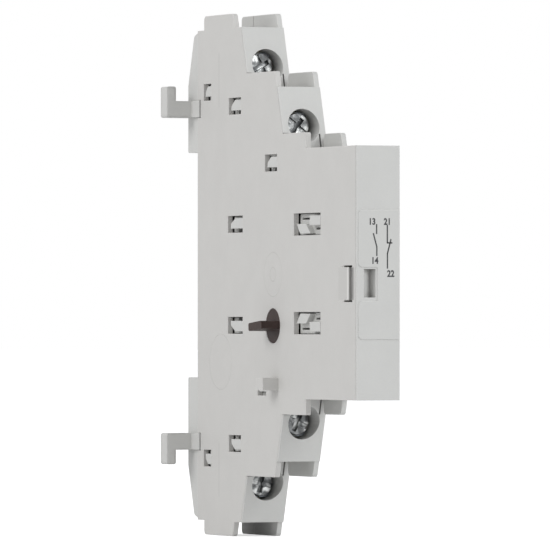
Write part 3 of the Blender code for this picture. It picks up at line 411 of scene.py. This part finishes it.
def grey_plastic(name, grey, rings=(), bands=(), hook_radius=None):
    """Matt moulded plastic with faint clouds, painted highlight on its edges, painted shade in its
    crevices, mould rings with painted shade along them, and painted light and shade on the latch
    and creases.
    """
    paint = Paint(name, specular=0.4)
    paint.soft_edges(SHELL_SOFT_EDGE, hook_radius)
    dark, light = tinted(grey, CLOUD_DARK), tinted(grey, CLOUD_LIGHT)
    cloud = paint.ramp(paint.noise(scale=160.0, detail=3.0), (0.35, dark), (0.68, light))
    fine = paint.noise(scale=2600.0, detail=2.0)
    speck = paint.ramp(fine, (0.40, even(0.985)), (0.62, even(1.0)))
    base = paint.mix(1.0, cloud, speck, "MULTIPLY")
    # Painted highlight along the edges.
    base = paint.painted_edge_highlight(base, tinted(grey, EDGE_HIGHLIGHT_TINT), amount=0.9, radius=SHELL_EDGE_HIGHLIGHT)
    shade = tuple(part * tint for part, tint in zip(grey, SHADE_TINT))
    # Painted shade in crevices, then deeper painted shade in recesses.
    base = paint.crevice_shade(base, shade, SHADE_REACH)
    base = paint.crevice_shade(base, tinted(grey, DEEP_SHADE_TINT), DEEP_SHADE_REACH, DEEP_SHADE_SPAN)
    # Mould rings: a real bump, with painted shade along them.
    for place, radius, width, tone in rings:
        mask = paint.ring(place, radius, width)
        base = paint.mix(paint.faint(mask, tone), base, shade)
        paint.bump(mask, RING_DEPTH, strength=0.8)
    # Painted shade and painted highlight on the latch, and painted shade along the creases.
    for place, half, soft, tint, amount in bands:
        mask = paint.faint(paint.band(place, half, soft), amount)
        base = paint.mix(mask, base, tinted(grey, tint))
    paint.colour(base)
    paint.roughness(paint.noise(scale=900.0, detail=3.0), low=0.42, high=0.58)
    paint.bump(paint.noise(scale=5200.0, detail=3.0), depth=0.012 * MM, strength=0.55)
    paint.bump(paint.noise(scale=240.0, detail=2.0), depth=0.03 * MM, strength=0.25)
    return paint.material


def brown_plastic(name):
    paint = Paint(name, specular=0.25)
    paint.soft_edges(SHAFT_SOFT_EDGE)
    dark, light = (0.034, 0.021, 0.018), (0.052, 0.033, 0.029)
    tone = paint.ramp(paint.noise(scale=420.0), (0.35, dark), (0.7, light))
    # Painted highlight along the edges.
    paint.colour(paint.painted_edge_highlight(tone, (0.17, 0.12, 0.11), amount=0.6))
    paint.roughness(paint.noise(scale=1400.0, detail=3.0), low=0.42, high=0.60)
    paint.bump(paint.noise(scale=4200.0, detail=3.0), depth=0.010 * MM, strength=0.5)
    return paint.material


def cream_plastic(name):
    paint = Paint(name)
    dark, light = (0.70, 0.66, 0.55), (0.77, 0.74, 0.64)
    paint.colour(paint.ramp(paint.noise(scale=300.0, detail=3.0), (0.3, dark), (0.7, light)))
    paint.roughness(paint.noise(scale=1100.0, detail=2.0), low=0.38, high=0.52)
    paint.bump(paint.noise(scale=3800.0, detail=3.0), depth=0.010 * MM, strength=0.4)
    return paint.material


def metal(name, dark, light, roughness, stretch):
    paint = Paint(name, metallic=1.0)
    streaks = paint.noise(METAL_GRAIN, detail=5.0, rough=0.65, stretch=stretch)
    base = paint.ramp(streaks, (0.3, dark), (0.7, light))
    # Painted highlight along the edges.
    paint.colour(paint.painted_edge_highlight(base, tinted(light, 1.25), amount=0.6))
    paint.roughness(paint.noise(METAL_GRAIN / 3), low=roughness - 0.08, high=roughness + 0.12)
    paint.bump(streaks, depth=0.006 * MM, strength=0.5)
    return paint.material


def screw_metal(name):
    """Zinc plating with dark and bright painted reflections on the head, drawn from a noise that
    also bumps it.
    """
    paint = Paint(name, metallic=1.0)
    reflection_and_bump_patches = paint.noise(scale=640.0, detail=2.0, rough=0.5)
    fine = paint.noise(scale=2600.0)
    dark, middle, bright = (0.105, 0.108, 0.109), (0.24, 0.247, 0.249), (0.76, 0.77, 0.76)
    # Dark and bright painted reflections on the head.
    base = paint.ramp(reflection_and_bump_patches, (0.42, dark), (0.52, middle), (0.63, bright))
    film = paint.ramp(fine, (0.40, even(0.0)), (0.80, even(0.20)))
    base = paint.mix(film, base, (0.46, 0.47, 0.47))
    # Painted highlight along the edges of the head.
    base = paint.painted_edge_highlight(base, (0.70, 0.72, 0.73), amount=0.4)
    # Painted shade in the recess of the head.
    paint.colour(paint.crevice_shade(base, (0.05, 0.055, 0.06), reach=1.0 * MM))
    paint.roughness(fine, low=0.24, high=0.46)
    paint.bump(reflection_and_bump_patches, depth=0.10 * MM, strength=0.6)
    paint.bump(fine, depth=0.006 * MM, strength=0.5)
    return paint.material


def ink(name):
    paint = Paint(name, specular=0.3)
    dark, light = (0.040, 0.040, 0.042), (0.085, 0.085, 0.088)
    paint.colour(paint.ramp(paint.noise(scale=3000.0, detail=3.0), (0.3, dark), (0.75, light)))
    paint.roughness(paint.noise(scale=2000.0, detail=2.0), low=0.5, high=0.7)
    paint.bump(paint.noise(scale=6000.0, detail=2.0), depth=0.004 * MM, strength=0.4)
    return paint.material


# Shading of the CAD nodes

def geometry_group(name):
    """Empty group of geometry nodes, with its input and output node."""
    group = bpy.data.node_groups.new(name, "GeometryNodeTree")
    for way in ("INPUT", "OUTPUT"):
        group.interface.new_socket("Geometry", in_out=way, socket_type="NodeSocketGeometry")
    return group, add_node(group, "NodeGroupInput"), add_node(group, "NodeGroupOutput")


def smooth_group(angle):
    """Geometry nodes that shade smooth, but keep edges sharper than the angle."""
    group, start, end = geometry_group(f"smooth_below_{angle}")
    faces = add_node(group, "GeometryNodeSetShadeSmooth", sources={
        "Geometry": start.outputs[0]}, domain="FACE")
    bend = add_node(group, "GeometryNodeInputMeshEdgeAngle")
    test = add_node(group, "FunctionNodeCompare", data_type="FLOAT", operation="LESS_EQUAL")
    test.inputs[1].default_value = math.radians(angle)
    group.links.new(bend.outputs["Unsigned Angle"], test.inputs[0])
    edges = add_node(group, "GeometryNodeSetShadeSmooth", sources={
        "Geometry": faces.outputs["Geometry"], "Shade Smooth": test.outputs[0]}, domain="EDGE")
    group.links.new(edges.outputs["Geometry"], end.inputs[0])
    return group


def clean_group():
    """Geometry nodes that weld a loaded mesh and drop its stored normals."""
    group, start, end = geometry_group("welded")
    drop = add_node(group, "GeometryNodeRemoveAttribute", {"Name": "custom_normal"}, {
        "Geometry": start.outputs[0]})
    weld = add_node(group, "GeometryNodeMergeByDistance", {"Distance": MERGE_DISTANCE}, {
        "Geometry": drop.outputs["Geometry"]})
    group.links.new(weld.outputs["Geometry"], end.inputs[0])
    return group


def dress(node, material, bevel, welded, smooth):
    """Give a CAD node its finish, welded, with its edges bevelled where a width is given."""
    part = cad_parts[node]
    part.data.materials.clear()
    part.data.materials.append(material)
    part.modifiers.new("weld", "NODES").node_group = welded
    if bevel:
        flat = part.modifiers.new("flat_faces", "DECIMATE")
        flat.decimate_type = "DISSOLVE"
        flat.angle_limit = math.radians(FLAT_ANGLE)
        round_edges = part.modifiers.new("rounded_edges", "BEVEL")
        round_edges.width = bevel
        round_edges.segments = BEVEL_SEGMENTS
        round_edges.limit_method = "ANGLE"
        round_edges.angle_limit = math.radians(SHARP_ANGLE)
        round_edges.miter_outer = "MITER_ARC"
    part.modifiers.new("smooth", "NODES").node_group = smooth
    flatten = part.modifiers.new("flat_shading", "WEIGHTED_NORMAL")
    flatten.keep_sharp = True
    flatten.weight = FLATTEN_WEIGHT


def dress_all():
    """Dress every CAD node as the first row says whose word is in its name."""
    smooth = smooth_group(SHARP_ANGLE)
    welded = clean_group()
    side = grey_plastic("light_grey_plastic", SIDE_GREY, MOULD_RINGS, PAINTED_LIGHT_BANDS)
    front = grey_plastic("light_grey_shell", FRONT_GREY, hook_radius=HOOK_SOFT_EDGE)
    metals = {name: metal(name, *recipe) for name, recipe in METALS.items()}
    screw = screw_metal("zinc_plated_screw")
    cream = cream_plastic("cream_plastic")
    brown = brown_plastic("dark_brown_plastic")
    finishes = (  # word, material and width of the bevel
        ("mounting_shell", side, 0.0),
        ("outer_shell", front, 0.0),
        ("switching_shaft", brown, 0.0),
        ("contact_carrier", cream, 0.15 * MM),
        ("tip", metals["silver_alloy"], 0.10 * MM),
        ("spring", metals["spring_steel"], 0.0),
        ("bridge", metals["copper_alloy"], 0.08 * MM),
        ("contact_plate", metals["brass_sheet"], 0.08 * MM),
        ("terminal_screw", screw, 0.12 * MM),
        ("clamp_washer", metals["zinc_plated_steel"], 0.12 * MM),
    )
    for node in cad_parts:
        material, bevel = next(finish for word, *finish in finishes if word in node)
        dress(node, material, bevel, welded, smooth)


# Springs

def pressed_spring(node, body, material):
    """Coil in place of its CAD node, on its body and with a mesh of its own."""
    work = bmesh.new()
    work.from_mesh(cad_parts[node].data)
    bmesh.ops.remove_doubles(work, verts=work.verts, dist=MERGE_DISTANCE)
    for face in work.faces:
        face.smooth = True
    mesh = mesh_from(node, work)
    mesh.materials.append(material)
    piece = link_object(node.replace("_spring", "_coil"), mesh)
    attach(piece, body)
    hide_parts(node)
    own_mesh(piece)


def build_springs():
    """Both coils, in the frame's own plain steel, as they are out of sight."""
    steel = bpy.data.materials["spring_steel"]
    pressed_spring("carrier_return_spring", "housing", steel)
    pressed_spring("make_contact_spring", "carrier", steel)


# Printed marks

def print_on_label(name, mesh, material):
    mesh.materials.append(material)
    piece = link_object(name, mesh)
    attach(piece, "housing")


def stroke(work, start, end):
    """Printed line between two points of the label."""
    a, b = Vector(start) * MM, Vector(end) * MM
    along = (b - a).normalized()
    side = Vector((-along.y, along.x)) * LINE_WIDTH / 2
    corners = [a - side, b - side, b + side, a + side]
    rings = []
    for y in (LABEL_FACE + MARK_SINK, LABEL_FACE - MARK_PROUD):
        rings.append([work.verts.new((corner.x, y, corner.y)) for corner in corners])
        work.faces.new(rings[-1])
    for i in range(4):
        j = (i + 1) % 4
        work.faces.new((rings[0][i], rings[0][j], rings[1][j], rings[1][i]))


def contact_symbol(name, lines, material):
    work = bmesh.new()
    for start, end in lines:
        stroke(work, start, end)
    bmesh.ops.recalc_face_normals(work, faces=work.faces)
    print_on_label(name, mesh_from(name, work), material)


def terminal_number(text, centre, material):
    """Plain terminal number, set narrow and centred on its place."""
    curve = bpy.data.curves.new("digits", "FONT")
    curve.body = text
    curve.align_x = "CENTER"
    curve.extrude = DIGIT_EXTRUSION
    curve.offset = DIGIT_WEIGHT
    curve.resolution_u = DIGIT_RESOLUTION
    digits = bpy.data.objects.new("digits", curve)
    outline = bpy.data.meshes.new_from_object(digits)
    bpy.data.objects.remove(digits)
    across = [vertex.co.x for vertex in outline.vertices]
    upward = [vertex.co.y for vertex in outline.vertices]
    middle_x = (min(across) + max(across)) / 2
    middle_y = (min(upward) + max(upward)) / 2
    size = DIGIT_HEIGHT / (max(upward) - min(upward))
    for vertex in outline.vertices:
        x = (vertex.co.x - middle_x) * size * DIGIT_NARROWING + centre[0] * MM
        z = (vertex.co.y - middle_y) * size + centre[1] * MM
        y = LABEL_FACE - MARK_PROUD if vertex.co.z > 0 else LABEL_FACE + MARK_SINK
        vertex.co = (x, y, z)
    work = bmesh.new()
    work.from_mesh(outline)
    bpy.data.meshes.remove(outline)
    bmesh.ops.remove_doubles(work, verts=work.verts, dist=MERGE_DISTANCE)
    bmesh.ops.dissolve_degenerate(work, edges=work.edges, dist=MERGE_DISTANCE)
    print_on_label(f"terminal_number_{text}", mesh_from("digits", work), material)


def build_label():
    black = ink("dark_grey_ink")
    for text, centre in NUMBERS.items():
        terminal_number(text, centre, black)
    contact_symbol("make_contact_symbol", MAKE_SYMBOL, black)
    contact_symbol("break_contact_symbol", BREAK_SYMBOL, black)


build_camera()
build_world()
build_lights()
build_floor()
dress_all()
build_springs()
build_label()
